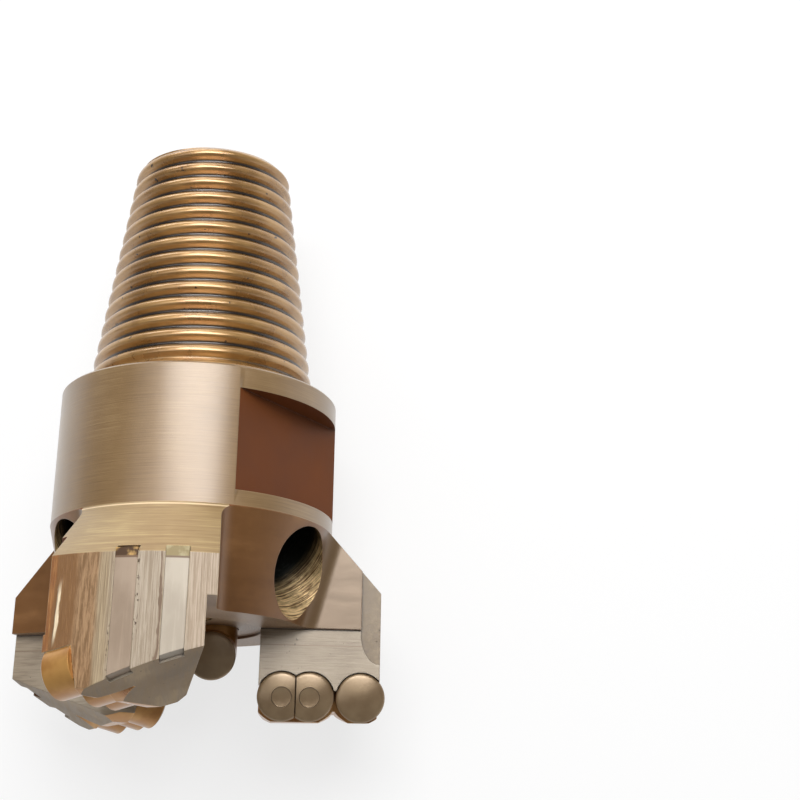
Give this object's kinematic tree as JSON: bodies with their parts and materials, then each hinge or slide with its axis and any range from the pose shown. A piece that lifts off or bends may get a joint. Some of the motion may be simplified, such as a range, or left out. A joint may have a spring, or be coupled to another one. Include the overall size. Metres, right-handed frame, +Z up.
{
  "type": "pdc drill bit",
  "caption": "Steel drill bit with a tapered threaded pin, wrench flats on a round shank, and wings that carry brazed round cutters.",
  "frame": {"origin": "on the floor under the middle of the part's box, with the bit lying on its side as it comes to rest", "axes": "+Z up; +Y towards the threaded pin, with the bit's axis rising about four degrees towards the crown at -Y; +X to the right of someone who faces the crown"},
  "size_m": [0.1088, 0.1682, 0.0994],
  "materials": {
    "body": "semi-gloss gold paint over machined steel, worn pale on the gauge pads and the crown's face",
    "cutter": "gold paint over ground carbide, brighter on the round tops",
    "gauge_bar": "thin paint over sintered carbide, grey-green at the ends"
  },
  "bodies": {
    "root": {"bit_body": "body", "cutter_1_outer": "cutter", "cutter_1_middle": "cutter", "cutter_1_inner": "cutter", "cutter_2_outer": "cutter", "cutter_2_middle": "cutter", "cutter_2_inner": "cutter", "cutter_3_outer": "cutter", "cutter_3_middle": "cutter", "cutter_3_inner": "cutter", "centre_cutter_1": "cutter", "centre_cutter_2": "cutter", "gauge_bar_1a": "gauge_bar", "gauge_bar_1b": "gauge_bar", "gauge_bar_2a": "gauge_bar", "gauge_bar_2b": "gauge_bar", "gauge_bar_3a": "gauge_bar", "gauge_bar_3b": "gauge_bar"}
  },
  "joints": []
}
